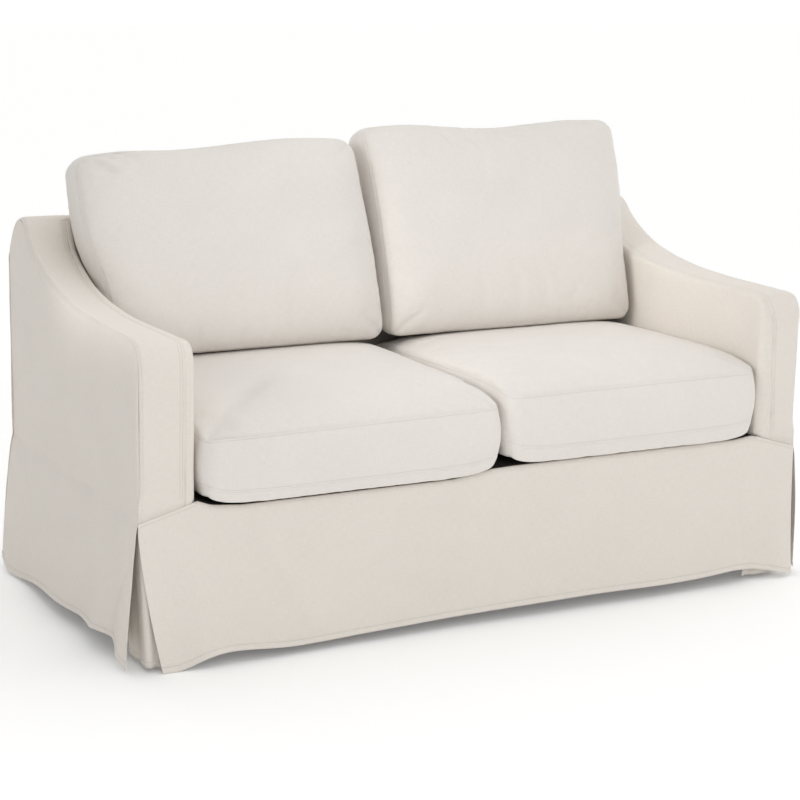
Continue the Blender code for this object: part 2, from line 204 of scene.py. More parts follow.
# A cloth panel on a grid of columns and rows, with its face, its normals and its lengths
class Panel:
    def __init__(self, name, columns, rows, place, relief, facing, material):
        self.columns, self.rows = list(columns), list(rows)
        wide, tall = len(self.columns), len(self.rows)
        bm = bmesh.new()
        bmesh.ops.create_grid(bm, x_segments=wide - 1, y_segments=tall - 1, size=0.5)
        index = {}
        for vert in bm.verts:
            i = round((vert.co.x + 0.5) * (wide - 1))
            j = round((vert.co.y + 0.5) * (tall - 1))
            index[vert] = (i, j)
            vert.co = place(self.columns[i], self.rows[j])
        bm.normal_update()
        turned = sum((face.normal * face.calc_area() for face in bm.faces), Vector())
        if turned.dot(Vector(facing)) < 0:
            bmesh.ops.reverse_faces(bm, faces=bm.faces)
            bm.normal_update()
        normals = {vert: vert.normal.copy() for vert in bm.verts}
        self.face = np.zeros((wide, tall, 3))
        for vert, (i, j) in index.items():
            vert.co += normals[vert] * relief(self.columns[i], self.rows[j])
            self.face[i, j] = vert.co
        bm.normal_update()
        self.normal = np.zeros((wide, tall, 3))
        for vert, (i, j) in index.items():
            self.normal[i, j] = vert.normal
        across = np.linalg.norm(np.diff(self.face, axis=0), axis=2).mean(axis=1)
        down = np.linalg.norm(np.diff(self.face, axis=1), axis=2).mean(axis=0)
        self.across = np.concatenate([[0], np.cumsum(across)])
        self.down = np.concatenate([[0], np.cumsum(down)])
        layer = bm.loops.layers.uv.new("weave")
        for face in bm.faces:
            face.smooth = True
            for loop in face.loops:
                i, j = index[loop.vert]
                loop[layer].uv = (self.across[i], self.down[j])
        self.piece = addPiece(name, bm, material)
        wall = self.piece.modifiers.new("cloth", "SOLIDIFY")
        wall.thickness = cloth["wall"]
        wall.offset = -1

    # The face and its normal at a place between the grid's columns and rows
    def at(self, i, j):
        i0, j0 = min(int(i), len(self.columns) - 2), min(int(j), len(self.rows) - 2)
        s, t = i - i0, j - j0
        spots = []
        for grid in (self.face, self.normal):
            top = grid[i0, j0] * (1 - s) + grid[i0 + 1, j0] * s
            low = grid[i0, j0 + 1] * (1 - s) + grid[i0 + 1, j0 + 1] * s
            spots.append(top * (1 - t) + low * t)
        return spots

    # A line across the panel, this far from its first row, or from its last if negative
    def rowLine(self, distance, first=0, last=None):
        j = float(np.interp(distance % self.down[-1], self.down, range(len(self.down))))
        last = len(self.columns) - 1 if last is None else last
        return [self.at(i, j) for i in range(first, last + 1)]


def addPiece(name, bm, material):
    mesh = bpy.data.meshes.new(name)
    bm.to_mesh(mesh)
    bm.free()
    piece = bpy.data.objects.new(name, mesh)
    bpy.context.scene.collection.objects.link(piece)
    mesh.materials.append(material)
    return piece


# Woven cloth: two thread directions on the piece's own lengths, slubs, soft mottling, sheen
def clothMaterial(name, look):
    material = bpy.data.materials.new(name)
    material.use_nodes = True
    nodes, links = material.node_tree.nodes, material.node_tree.links
    shader = nodes["Principled BSDF"]
    for socket, value in (("Roughness", look["rough"]), ("Sheen Weight", look["sheen"]),
                          ("Sheen Roughness", 0.5), ("Specular IOR Level", 0.18)):
        shader.inputs[socket].default_value = value
    uv = nodes.new("ShaderNodeUVMap")
    uv.uv_map = "weave"
    threads = []
    for turn in (0, math.pi / 2):
        lay = nodes.new("ShaderNodeMapping")
        lay.inputs["Rotation"].default_value[2] = turn
        links.new(uv.outputs["UV"], lay.inputs["Vector"])
        thread = nodes.new("ShaderNodeTexWave")
        thread.inputs["Scale"].default_value = look["threads"]
        thread.inputs["Distortion"].default_value = 1.6
        thread.inputs["Detail"].default_value = 2
        thread.inputs["Detail Scale"].default_value = 0.4
        links.new(lay.outputs["Vector"], thread.inputs["Vector"])
        threads.append(thread)
    slubs = []
    for stretch in ((60, 900, 1), (900, 60, 1)):
        lay = nodes.new("ShaderNodeMapping")
        lay.inputs["Scale"].default_value = stretch
        links.new(uv.outputs["UV"], lay.inputs["Vector"])
        slub = nodes.new("ShaderNodeTexNoise")
        slub.inputs["Scale"].default_value = 1
        slub.inputs["Detail"].default_value = 3
        links.new(lay.outputs["Vector"], slub.inputs["Vector"])
        slubs.append(slub)
    place = nodes.new("ShaderNodeTexCoord")
    mottle = nodes.new("ShaderNodeTexNoise")
    mottle.inputs["Scale"].default_value = 9
    mottle.inputs["Detail"].default_value = 5
    links.new(place.outputs["Object"], mottle.inputs["Vector"])

    def maths(kind, one, two):
        node = nodes.new("ShaderNodeMath")
        node.operation = kind
        for slot, value in enumerate((one, two)):
            if isinstance(value, (int, float)):
                node.inputs[slot].default_value = value
            else:
                links.new(value, node.inputs[slot])
        return node.outputs[0]

    weave = maths("ADD", threads[0].outputs["Fac"], threads[1].outputs["Fac"])
    slub = maths("ADD", slubs[0].outputs["Fac"], slubs[1].outputs["Fac"])
    relief = maths("ADD", maths("MULTIPLY", weave, 0.5), maths("MULTIPLY", slub, look["slub"]))
    bump = nodes.new("ShaderNodeBump")
    bump.inputs["Strength"].default_value = look["bump"]
    bump.inputs["Distance"].default_value = 0.0006
    links.new(relief, bump.inputs["Height"])
    links.new(bump.outputs["Normal"], shader.inputs["Normal"])
    tone = maths("ADD", maths("MULTIPLY", slub, 0.42), maths("MULTIPLY", mottle.outputs["Fac"], 0.16))
    ramp = nodes.new("ShaderNodeValToRGB")
    ramp.color_ramp.elements[0].position = 0.38
    ramp.color_ramp.elements[0].color = (*look["dark"], 1)
    ramp.color_ramp.elements[1].position = 0.64
    ramp.color_ramp.elements[1].color = (*look["light"], 1)
    links.new(tone, ramp.inputs["Fac"])
    links.new(ramp.outputs["Color"], shader.inputs["Base Color"])
    return material


ivory = clothMaterial("ivory_weave", {
    "dark": (0.765, 0.716, 0.658), "light": (0.835, 0.784, 0.722), "rough": 0.92, "sheen": 0.08,
    "threads": 600, "slub": 0.6, "bump": 0.35})
cushionCloth = clothMaterial("cushion_weave", {
    "dark": (0.787, 0.748, 0.706), "light": (0.857, 0.817, 0.770), "rough": 0.92, "sheen": 0.08,
    "threads": 600, "slub": 0.6, "bump": 0.35})
# The deck is dark cloth, and its near-black colour, darker than any cloth, is also painted shade: it gives the
# gaps under and between the cushions their dark.
deckWithShade = clothMaterial("dark_deck_with_painted_shade", {
    "dark": (0.006, 0.0045, 0.0035), "light": (0.012, 0.009, 0.007), "rough": 0.95, "sheen": 0.05,
    "threads": 900, "slub": 0.4, "bump": 0.3})
# The stitch thread is coloured far darker than the cloth: painted shade, for the dark dots that the shade of
# the stitch holes makes along each stitch line.
thread = clothMaterial("stitch_thread_painted_shade", {
    "dark": (0.38, 0.345, 0.30), "light": (0.46, 0.42, 0.37), "rough": 0.8, "sheen": 0.1,
    "threads": 2500, "slub": 0.2, "bump": 0.3})
print("materials made")


# Stitches are short raised beads; the cord is a seam's fine raised edge.
stitch = {"pitch": 0.0044, "long": 0.0024, "thick": 0.00062, "sink": 0.00022}
cord = {"pitch": 0.0044, "long": 0.0066, "thick": 0.00085, "sink": 0.00020}


# Short raised stitches along a line of places and normals
def sewRow(bm, line, stitch):
    spots = np.array([spot for spot, normal in line])
    normals = np.array([normal for spot, normal in line])
    lengths = np.concatenate([[0], np.cumsum(np.linalg.norm(np.diff(spots, axis=0), axis=1))])
    at = stitch["pitch"] / 2
    while at < lengths[-1]:
        here = Vector([float(np.interp(at, lengths, spots[:, k])) for k in range(3)])
        ahead = Vector([float(np.interp(at + 0.002, lengths, spots[:, k])) for k in range(3)])
        behind = Vector([float(np.interp(at - 0.002, lengths, spots[:, k])) for k in range(3)])
        up = Vector([float(np.interp(at, lengths, normals[:, k])) for k in range(3)]).normalized()
        run = (ahead - behind).normalized()
        aside = up.cross(run).normalized()
        turn = Matrix((run, aside, run.cross(aside))).transposed().to_4x4()
        scale = Matrix.Diagonal((stitch["long"] / 2, stitch["thick"], stitch["thick"], 1))
        place = Matrix.Translation(here - up * stitch["sink"]) @ turn @ scale
        bmesh.ops.create_icosphere(bm, subdivisions=1, radius=1, matrix=place)
        at += stitch["pitch"]


# Stitches take the dark thread by default, whose colour is painted shade.
def sew(name, lines, kind=stitch, material=thread):
    bm = bmesh.new()
    for line in lines:
        sewRow(bm, line, kind)
    layer = bm.loops.layers.uv.new("weave")
    for face in bm.faces:
        face.smooth = True
        for loop in face.loops:
            loop[layer].uv = (loop.vert.co.x, loop.vert.co.z)
    piece = addPiece(name, bm, material)
    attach(piece, root)
    return piece


# The arm's line runs up its front, along its top and down its rear corner, as (y, z).
arm = {
    "outX": 0.76, "inX": {-1: 0.645, 1: 0.656}, "frontY": -0.387, "backY": 0.381,
    "line": [(-0.387, 0.326), (-0.387, 0.450), (-0.387, 0.575), (-0.383, 0.606), (-0.371, 0.624),
             (-0.350, 0.633), (-0.290, 0.636), (-0.150, 0.638), (-0.050, 0.643), (0.055, 0.657),
             (0.143, 0.679), (0.207, 0.706), (0.254, 0.735), (0.287, 0.765), (0.310, 0.774),
             (0.333, 0.772), (0.356, 0.753), (0.372, 0.727), (0.381, 0.700), (0.381, 0.680)],
    "frontSeam": {-1: [(0.326, 0.667), (0.62, 0.665)],
                  1: [(0.326, 0.694), (0.57, 0.682), (0.62, 0.668)]},
    "topSeam": [(-0.350, 0.668), (-0.200, 0.665), (0.300, 0.663)],
    "slope": {-1: [(-0.372, 0.0), (-0.330, 0.006), (0.0, 0.018), (0.140, 0.026), (0.250, 0.028),
                   (0.305, 0.0)],
              1: [(-0.372, 0.0), (-0.330, 0.002), (0.0, 0.008), (0.100, 0.014), (0.250, 0.016),
                  (0.305, 0.0)]},
    "roll": [(-0.372, 0.014), (-0.300, 0.018), (0.300, 0.020)],
    "edge": {-1: [(-0.372, 0.0), (0.381, 0.0)],
             1: [(-0.372, 0.0), (-0.330, 0.004), (0.0, 0.006), (0.200, 0.011), (0.305, 0.012),
                 (0.360, 0.0)]},
    "railY": 0.300, "panelFootZ": 0.300, "innerFootY": (-0.345, 0.264),
}
skirt = {
    "armZ": 0.326, "cornerZ": 0.295, "roll": 0.012, "rollRun": 1.6,
    "deckLevels": [(-0.645, 0.326), (-0.610, 0.313), (-0.550, 0.307), (-0.090, 0.307),
                   (0.000, 0.319), (0.050, 0.3205), (0.600, 0.3205), (0.656, 0.326)],
    "frontHem": [(-0.760, 0.000), (-0.714, 0.000), (-0.631, 0.020), (-0.430, 0.016), (-0.210, 0.020),
                 (0.266, 0.026), (0.525, 0.025), (0.618, 0.029), (0.687, 0.022), (0.769, 0.002)],
    "backHem": [(-0.760, 0.012), (-0.560, 0.022), (0.000, 0.026), (0.500, 0.020), (0.760, 0.010)],
    "sideHem": [(-0.387, 0.006), (-0.345, 0.026), (-0.300, 0.040), (-0.136, 0.036), (0.119, 0.026),
                (0.340, 0.012), (0.381, 0.024)],
    "frontFolds": [(-0.690, -0.640, 0.045, 0.006), (-0.420, -0.470, 0.110, 0.005),
                   (-0.020, -0.060, 0.150, -0.005), (0.360, 0.380, 0.120, 0.004),
                   (0.640, 0.655, 0.050, -0.007), (0.725, 0.730, 0.032, 0.008)],
    "backFolds": [(-0.640, -0.600, 0.060, 0.006), (-0.150, -0.180, 0.140, -0.005),
                  (0.300, 0.350, 0.110, 0.005), (0.660, 0.680, 0.050, 0.006)],
    "sideFolds": [(-0.372, -0.352, 0.022, 0.007), (-0.365, -0.290, 0.030, -0.008),
                  (-0.355, -0.205, 0.034, 0.007), (-0.330, -0.110, 0.040, -0.005),
                  (-0.250, 0.010, 0.060, 0.004), (0.250, 0.210, 0.060, -0.005),
                  (0.330, 0.330, 0.045, 0.007)],
    "frontDraw": {-1: 0.044, 1: -0.006}, "backDraw": {-1: 0.022, 1: 0.018},
    "sideDraw": (0.022, 0.010), "drawReach": 0.250,
    "sideFlare": {-1: [(-0.387, 0.020), (0.0, 0.028), (0.381, 0.032)],
                  1: [(-0.387, 0.038), (0.0, 0.030), (0.381, 0.032)]},
    "sideFlarePower": 0.7, "frontFlare": 0.008, "backFlare": 0.016,
}

line = smoothLine(arm["line"], cloth["step"])
outward = outwardOf(line)
topStart = int(np.argmax(line[:, 1] >= 0.575))
innerEnd = int(np.argmax(line[:, 0] > arm["railY"])) - 1
armLength = np.concatenate([[0], np.cumsum(np.linalg.norm(np.diff(line, axis=0), axis=1))])


# The arm's round corner is square at its foot and at the rear, where other panels begin
def roundShare(station):
    return min(1, (armLength[-1] - armLength[station]) / 0.09, armLength[station] / 0.03)


def inset(station, depth):
    return line[station] - outward[station] * depth


def skirtTop(x):
    if -arm["inX"][-1] <= x <= arm["inX"][1]:
        return alongTable(skirt["deckLevels"], x)
    edge = arm["inX"][math.copysign(1, x)]
    share = min(1, (abs(x) - edge) / (arm["outX"] - edge))
    return mix(skirt["armZ"], skirt["cornerZ"], share)


def foldHeight(folds, at, drop):
    total = 0
    for top, hem, width, height in folds:
        total += height * drop * math.exp(-(((at - mix(top, hem, drop)) / width) ** 2))
    return total


def drawFrom(edge, at, draw, drop):
    share = max(0, 1 - abs(at - edge) / skirt["drawReach"])
    return draw * share**2 * drop**1.3


def seamAt(side, station):
    y, z = line[station]
    if y < arm["topSeam"][0][0]:
        return alongTable(arm["frontSeam"][side], z)
    return alongTable(arm["topSeam"], y)


def finishPanel(panel, node):
    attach(panel.piece, root)
    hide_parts(node)
    print(node, "cloth", round(panel.across[-1], 3), "by", round(panel.down[-1], 3))


def buildBand(side, word):
    look = {"flat": (1.19, 0.105), "crown": 0.0008, "pucker": 0.0072, "puckerReach": 0.012}
    wide = arm["outX"] - 0.665
    acrossPlaces = evenSteps(0, wide, 0.005)

    def place(station, across):
        inner = arm["inX"][side] if station >= innerEnd else seamAt(side, station) + cloth["gap"]
        rounded = roundShare(station)
        share = turnIn(across, rounded) / wide
        y0 = line[station][0]
        depth = alongTable(arm["slope"][side], y0) * share
        depth += alongTable(arm["edge"][side], y0) * (1 - across / wide) ** 3
        depth += rounded * roundDrop(turnIn(across))
        y, z = inset(station, depth)
        if station == 0:
            z = skirtTop(side * mix(arm["outX"], inner, share)) + cloth["gap"]
        return side * mix(arm["outX"], inner, share), y, z

    def relief(station, across):
        run = armLength[station]
        drop = seamRoll(across, wide - across)
        if station < 4:
            drop += seamRoll(run)
        toSeam = wide - across
        sewn = math.exp(-toSeam / look["puckerReach"]) * min(1, toSeam / 0.003)
        front = 1 if run < 0.30 else 0.45
        pull = ripple(run, side + 3, 0.0115) * (0.6 + ripple(run, side + 6, 0.05))
        pull += 0.2 * ripple(run, side + 9, 0.03)
        share = across / wide
        crown = look["crown"] * 4 * share * (1 - share)
        puckered = look["pucker"] * front * sewn * pull
        return crown - drop + puckered + unevenLie(run, across, 2 + side, 0.09, 0.0007)

    panel = Panel("band_cloth_" + word, range(len(line)), acrossPlaces, place, relief, (0, -0.3, 1), ivory)
    sewn = sew("band_stitches_" + word, [
        panel.rowLine(-0.0054, 2, innerEnd), panel.rowLine(-0.0115, 2, innerEnd),
        panel.rowLine(0.0054, topStart, len(line) - 2)])
    finishPanel(panel, "band_" + word)


def buildInner(side, word):
    rolled, flat = 12, 22

    def place(station, row):
        y0 = line[station][0]
        slope = alongTable(arm["slope"][side], y0)
        roll = alongTable(arm["roll"], y0) * min(1, (innerEnd - station) / 3)
        seam = seamAt(side, station)
        if row <= rolled:
            level = mix(seam, arm["inX"][side], 0.3)
            turn = math.pi / 2 * max(0, row - 1) / (rolled - 1)
            x = mix(level, arm["inX"][side], math.sin(turn)) if row >= 1 else mix(seam, level, row)
            y, z = inset(station, slope + roll * (1 - math.cos(turn)))
            if station == 0:
                z = skirtTop(side * x) + cloth["gap"]
            return side * x, y, z
        start = np.array(inset(station, slope + roll))
        footY = mix(*arm["innerFootY"], station / innerEnd)
        y, z = mix(start, np.array([footY, arm["panelFootZ"]]), (row - rolled) / flat)
        return side * arm["inX"][side], y, z

    def relief(station, row):
        run = armLength[station]
        if row <= rolled:
            off = row / rolled * 0.03
            return -seamRoll(off) + unevenLie(run, off, 6 + side, 0.05, 0.0005) * min(1, row / 3)
        return unevenLie(run, row * 0.015, 6 + side, 0.12, 0.0005)

    rows = [0, 0.15, 0.4, 0.7] + list(range(1, rolled + flat + 1))
    stations = sorted(set(range(0, innerEnd + 1, 2)) | set(range(innerEnd - 4, innerEnd + 1)))
    panel = Panel("inner_cloth_" + word, stations, rows, place, relief, (-side, 0, 0.2), ivory)
    finishPanel(panel, "inner_" + word)


def buildSide(side, word):
    look = {"flat": (0.79, 0.79), "area": 0.503, "hemTurn": 0.0017,
            "creases": [
                (-0.375, 0.300, 0.370, 0.297, 0.0045, -0.0011), (-0.345, 0.24, -0.300, 0.06, 0.010, 0.0030),
                (-0.370, 0.26, -0.215, 0.06, 0.011, 0.0026), (-0.365, 0.24, -0.275, 0.05, 0.009, -0.0026),
                (-0.350, 0.29, -0.150, 0.12, 0.014, 0.0018), (-0.340, 0.31, -0.080, 0.20, 0.018, -0.0014),
                (-0.300, 0.20, -0.230, 0.05, 0.008, 0.0016), (-0.200, 0.24, -0.020, 0.06, 0.016, 0.0014),
                (-0.100, 0.30, 0.080, 0.12, 0.020, -0.0012), (0.280, 0.26, 0.160, 0.05, 0.015, 0.0016)]}
    upper = [0, 0.006, 0.014, 0.03] + list(np.linspace(0.06, 1, 36))
    lower = [1 + share for share in hemRows(28)[1:]]

    # The panel's edge lies in the middle of the arm's round corner, down to the skirt.
    tuck = cloth["cornerMiddle"] * cloth["corner"]
    butt = cloth["wall"] + 0.0003

    def roundAway(y, z):
        foot = line[0][1]
        if z <= foot:
            return 0
        if z <= 0.56:
            return min(1, (z - foot) / 0.03) * roundDrop(y - arm["frontY"])
        away = np.hypot(line[:, 0] - y, line[:, 1] - z)
        near = int(np.argmin(away))
        edge = alongTable(arm["edge"][side], line[near][0])
        return roundShare(near) * roundDrop(max(0, float(away[near]) - edge))

    def place(station, row):
        deep = mix(butt, tuck, roundShare(station))
        y, z = inset(station, deep + alongTable(arm["edge"][side], line[station][0]))
        if row <= 1:
            z = mix(z, skirt["cornerZ"], row)
            hang = min(1, max(0, (line[0][1] + 0.03 - z) / 0.03))
            y = mix(y, line[station][0] - outward[station][0] * butt, hang)
            return side * (arm["outX"] - roundAway(y, z)), y, z
        y = line[station][0] - outward[station][0] * butt
        drop = min(row, 2) - 1
        out = curveTable(skirt["sideFlare"][side], y) * drop ** skirt["sideFlarePower"]
        out += foldHeight(skirt["sideFolds"], y, drop)
        hem = curveTable(skirt["sideHem"], y)
        shift = drawFrom(arm["frontY"], y, skirt["sideDraw"][0], drop)
        shift -= drawFrom(arm["backY"], y, skirt["sideDraw"][1], drop)
        return side * (arm["outX"] + out), y + shift, mix(skirt["cornerZ"], hem, drop)

    def relief(station, row):
        y, z = line[station]
        x, spotY, spotZ = place(station, row)
        drop = 0.7 * seamRoll(max(0, z - spotZ))
        fade = min(1, max(0, (z - spotZ) / 0.10))
        soft = creaseHeight(look["creases"], spotY, spotZ) * (1 if side < 0 else 0.7)
        pressed = hemDip(row - 1) if row > 1.5 else 0
        return -drop + soft * fade - pressed + fade * unevenLie(spotY, spotZ, 11 + side, 0.15, 0.0016)

    rear = int(np.argmax(line[:, 0] > 0.25))
    stations = sorted(set(range(topStart, rear, 2)) | {topStart + 1} | set(range(rear, len(line) - 1)))
    panel = Panel("side_cloth_" + word, stations, upper + lower, place, relief, (side, 0, 0), ivory)
    sewn = sew("side_stitches_" + word, [panel.rowLine(-cloth["hem"], 1, len(panel.columns) - 2)])
    finishPanel(panel, "side_" + word)


def buildFrontSkirt():
    look = {"flat": (1.55, 0.345),
            "creases": [
                (-0.52, 0.26, -0.40, 0.06, 0.020, 0.0034), (-0.33, 0.16, -0.06, 0.10, 0.020, 0.0036),
                (-0.12, 0.26, 0.10, 0.10, 0.030, -0.0028), (0.20, 0.22, 0.42, 0.10, 0.026, 0.0032),
                (0.40, 0.20, 0.62, 0.05, 0.022, 0.0026), (0.61, 0.28, 0.64, 0.05, 0.012, -0.0026)]}
    edgeRows = {-3: (1.0, 0.0), -2: (0.6, 0.0), -1: (0.15, 0.5), 0: (0.0, skirt["rollRun"])}

    def place(x, row):
        top = skirtTop(x)
        if row < 0 and not -arm["inX"][-1] < x < arm["inX"][1]:
            return x, arm["frontY"], top - (row + 3) / 3 * skirt["rollRun"] * skirt["roll"]
        if row < 0:
            lift = skirt["roll"]
            low = math.floor(row)
            back = mix(edgeRows[low][0], edgeRows[low + 1][0], row - low)
            down = mix(edgeRows[low][1], edgeRows[low + 1][1], row - low)
            return x, arm["frontY"] + back * lift, top - down * skirt["roll"]
        start = top - skirt["rollRun"] * skirt["roll"]
        out = skirt["frontFlare"] * row**2 + foldHeight(skirt["frontFolds"], x, row)
        shift = drawFrom(-arm["outX"], x, skirt["frontDraw"][-1], row)
        shift -= drawFrom(arm["outX"], x, skirt["frontDraw"][1], row)
        return x + shift, arm["frontY"] - out, mix(start, curveTable(skirt["frontHem"], x), row)

    def relief(x, row):
        spot = place(x, row)
        underArm = not -arm["inX"][-1] < x < arm["inX"][1]
        drop = seamRoll((row + 3) * 0.006) if underArm else 0
        fade = min(1, max(0, row) * 4)
        pressed = hemDip(row) if row > 0.5 else 0
        soft = creaseHeight(look["creases"], spot[0], spot[2])
        return -drop + fade * (soft + unevenLie(x, spot[2], 21, 0.16, 0.0016)) - pressed

    left = evenSteps(-arm["outX"], -arm["inX"][-1], 0.009)[:-1]
    middle = list(np.linspace(0.006 - arm["inX"][-1], arm["inX"][1] - 0.006, 150))
    right = evenSteps(arm["inX"][1], arm["outX"], 0.009)[1:]
    rows = [-3, -2.6, -2.3, -2, -1.7, -1.4, -1, -0.7, -0.35] + hemRows(34)
    panel = Panel("front_skirt_cloth", left + middle + right, rows, place, relief, (0, -1, 0), ivory)
    leftEnd = len(left) - 1
    rightStart = len(left) + len(middle)
    sewn = sew("front_skirt_stitches", [
        panel.rowLine(-cloth["hem"], 1, len(panel.columns) - 2),
        panel.rowLine(0.0065, 0, leftEnd), panel.rowLine(0.0065, rightStart, len(panel.columns) - 1)])
    finishPanel(panel, "front_skirt")


def buildOutsideBack():
    look = {"flat": (1.56, 0.70), "pullIn": 0.9975}
    top = line[-1][1] - 0.0003
    rows = [0, 0.006, 0.014, 0.03] + list(np.linspace(0.06, 1, 30)) + list(np.linspace(1.04, 2, 30))

    def place(x, row):
        if row <= 1:
            return x * look["pullIn"], arm["backY"], mix(top, skirt["cornerZ"], row)
        drop = row - 1
        out = skirt["backFlare"] * drop**1.3 + foldHeight(skirt["backFolds"], x, drop)
        shift = drawFrom(-arm["outX"], x, skirt["backDraw"][-1], drop)
        shift -= drawFrom(arm["outX"], x, skirt["backDraw"][1], drop)
        return x + shift, arm["backY"] + out, mix(skirt["cornerZ"], curveTable(skirt["backHem"], x), drop)

    def relief(x, row):
        z = place(x, row)[2]
        edge = arm["outX"] - abs(x)
        drop = seamRoll(top - z) + (seamRoll(edge) if row <= 1 else 0)
        fade = min(1, edge / 0.04) * min(1, (top - z) / 0.05)
        return -drop + fade * unevenLie(x, z, 31, 0.18, 0.0022)

    columns = evenSteps(-arm["outX"], arm["outX"], 0.012)
    panel = Panel("outside_back_cloth", columns, rows, place, relief, (0, 1, 0), ivory)
    sewn = sew("outside_back_stitches", [
        panel.rowLine(-cloth["hem"], 1, len(columns) - 2), panel.rowLine(0.0060, 1, len(columns) - 2)])
    finishPanel(panel, "outside_back")


def buildInsideBack():
    face = [(y, z) for y, z in zip(np.linspace(0.256, 0.292, 24), np.linspace(0.300, 0.745, 24))]
    face += [(0.2955, 0.757)] + [tuple(spot) for spot in line[innerEnd:]]

    def place(x, row):
        return x, face[row][0], face[row][1]

    def relief(x, row):
        return unevenLie(x, row * 0.012, 41, 0.12, 0.0008) * min(1, (len(face) - 1 - row) / 3)

    columns = evenSteps(0.0003 - arm["inX"][-1], arm["inX"][1] - 0.0003, 0.014)
    panel = Panel("inside_back_cloth", columns, range(len(face)), place, relief, (0, -1, 0.5), ivory)
    finishPanel(panel, "inside_back")


def buildDeck():
    front = arm["frontY"] + skirt["roll"] + 0.0003

    def place(x, y):
        return x, y, alongTable(skirt["deckLevels"], x)

    columns = evenSteps(0.0012 - arm["inX"][-1], arm["inX"][1] - 0.0012, 0.02)
    rows = evenSteps(front, 0.2555, 0.02)
    # The deck takes the near-black cloth, whose colour is partly painted shade.
    panel = Panel("deck_cloth", columns, rows, place, lambda x, y: 0, (0, 0, 1), deckWithShade)
    finishPanel(panel, "deck")


def buildPleat(side, end, name):
    look = {"flat": (0.195, 0.29), "arm": 0.095, "radius": 0.010, "drop": 0.006, "hemZ": 0.008,
            "leanX": 0.016, "leanY": 0.006, "ripple": 0.004}
    edgeX = arm["outX"] - 0.0024
    edgeY = (-arm["frontY"] if end < 0 else arm["backY"]) - 0.0024

    def place(along, drop):
        x, y = edgeX - look["leanX"] * drop, edgeY - look["leanY"] * drop
        out = look["ripple"] * drop * math.sin(3 * math.pi * along / look["arm"])
        turn = math.pi / 4 * (1 + along / look["radius"])
        if along < -look["radius"]:
            x += along
            y += min(out, 0)
        elif along > look["radius"]:
            x += min(out, 0)
            y -= along
        else:
            x += look["radius"] * (math.sin(turn) - 1)
            y += look["radius"] * (math.cos(turn) - 1)
        return side * x, end * y, mix(skirt["cornerZ"] - look["drop"], look["hemZ"], drop)

    def relief(along, drop):
        return unevenLie(along, drop * 0.28, 51 + side + 2 * end, 0.07, 0.0010) * drop

    straight = np.linspace(look["radius"], look["arm"], 14)
    columns = list(-straight[::-1]) + list(np.linspace(-0.007, 0.007, 5)) + list(straight)
    rows = np.linspace(0, 1, 34)
    panel = Panel(name + "_cloth", columns, rows, place, relief, (side, end, 0), ivory)
    sewn = sew(name + "_stitches", [panel.rowLine(-cloth["hem"], 0, len(columns) - 1)])
    finishPanel(panel, name)


for side, word in ((-1, "left"), (1, "right")):
    buildBand(side, word)
    buildInner(side, word)
    buildSide(side, word)
    buildPleat(side, -1, "pleat_front_" + word)
    buildPleat(side, 1, "pleat_back_" + word)
buildFrontSkirt()
buildOutsideBack()
buildInsideBack()
buildDeck()
print("cover made")


